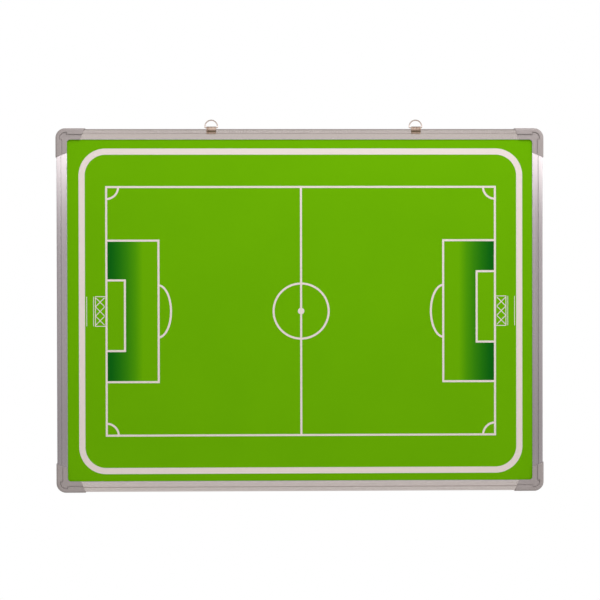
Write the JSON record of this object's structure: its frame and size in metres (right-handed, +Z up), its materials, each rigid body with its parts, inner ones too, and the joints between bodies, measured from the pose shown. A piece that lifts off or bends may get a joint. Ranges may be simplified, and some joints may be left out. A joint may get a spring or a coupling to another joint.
{
  "type": "tactics board",
  "caption": "Wall-hung magnetic tactics board with a printed football pitch in a slim aluminium frame, with plastic corner caps and sliding hangers with swinging D-rings.",
  "frame": {"origin": "middle of the board on the wall plane, which is the plane of the corner caps' backs", "axes": "+X right along the board's width, +Y back towards the wall, +Z up; the printed face looks along -Y"},
  "size_m": [0.602, 0.0179, 0.4593],
  "materials": {
    "printed_film": "satin",
    "sheet_steel": "satin",
    "core": "matte",
    "back": "matte",
    "anodised_rail": "satin",
    "cap_plastic": "satin",
    "key_plastic": "matte",
    "screw_steel": "satin",
    "clip_steel": "satin",
    "ring_steel": "polished"
  },
  "bodies": {
    "board": {"print_film": "printed_film", "steel_sheet": "sheet_steel", "core_board": "core", "back_sheet": "back", "top_rail": "anodised_rail", "bottom_rail": "anodised_rail", "left_rail": "anodised_rail", "right_rail": "anodised_rail", "corner_cap_top_left": "cap_plastic", "corner_cap_top_right": "cap_plastic", "corner_cap_bottom_left": "cap_plastic", "corner_cap_bottom_right": "cap_plastic", "corner_key_top_left": "key_plastic", "corner_key_top_right": "key_plastic", "corner_key_bottom_left": "key_plastic", "corner_key_bottom_right": "key_plastic", "corner_screws": "screw_steel"},
    "clip_left": {"hanger_clip_left": "clip_steel"},
    "clip_right": {"hanger_clip_right": "clip_steel"},
    "ring_left": {"hang_ring_left": "ring_steel"},
    "ring_right": {"hang_ring_right": "ring_steel"}
  },
  "joints": [
    {"name": "clip_left_slide", "type": "slide", "parent": "board", "child": "clip_left", "axis": [1, 0, 0], "range_m": [-0.145, 0.099]},
    {"name": "clip_right_slide", "type": "slide", "parent": "board", "child": "clip_right", "axis": [1, 0, 0], "range_m": [-0.1325, 0.1115]},
    {"name": "ring_left_swing", "type": "hinge", "parent": "clip_left", "child": "ring_left", "pos_m": [-0.1094, -0.0164, 0.2248], "axis": [1, 0, 0], "range_deg": [-85, 150]},
    {"name": "ring_right_swing", "type": "hinge", "parent": "clip_right", "child": "ring_right", "pos_m": [0.1429, -0.0164, 0.2248], "axis": [1, 0, 0], "range_deg": [-85, 150]}
  ]
}
